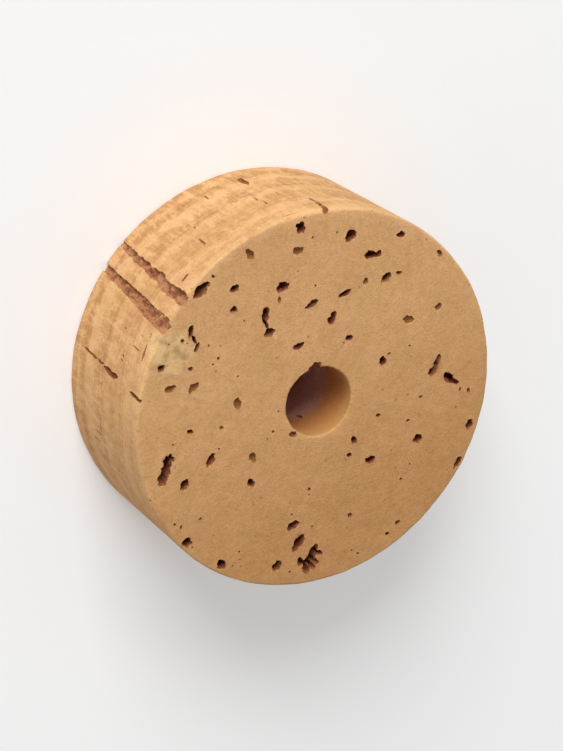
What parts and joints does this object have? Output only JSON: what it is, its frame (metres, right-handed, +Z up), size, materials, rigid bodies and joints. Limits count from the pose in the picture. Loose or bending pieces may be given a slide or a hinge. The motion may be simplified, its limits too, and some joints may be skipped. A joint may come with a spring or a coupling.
{
  "type": "cork ring",
  "caption": "Natural cork ring with a straight bore; its pores open as dark pits in both faces and as channels along the rim.",
  "frame": {"origin": "centre of the bottom face, on the bore's axis", "axes": "+Z up along the bore, from the bottom face to the top face; -Y is the side of the rim with the two broad open channels"},
  "size_m": [0.0318, 0.0318, 0.0127],
  "materials": {
    "cork": "natural cork, sanded, matte"
  },
  "bodies": {
    "root": {"ring": "cork"}
  },
  "joints": []
}
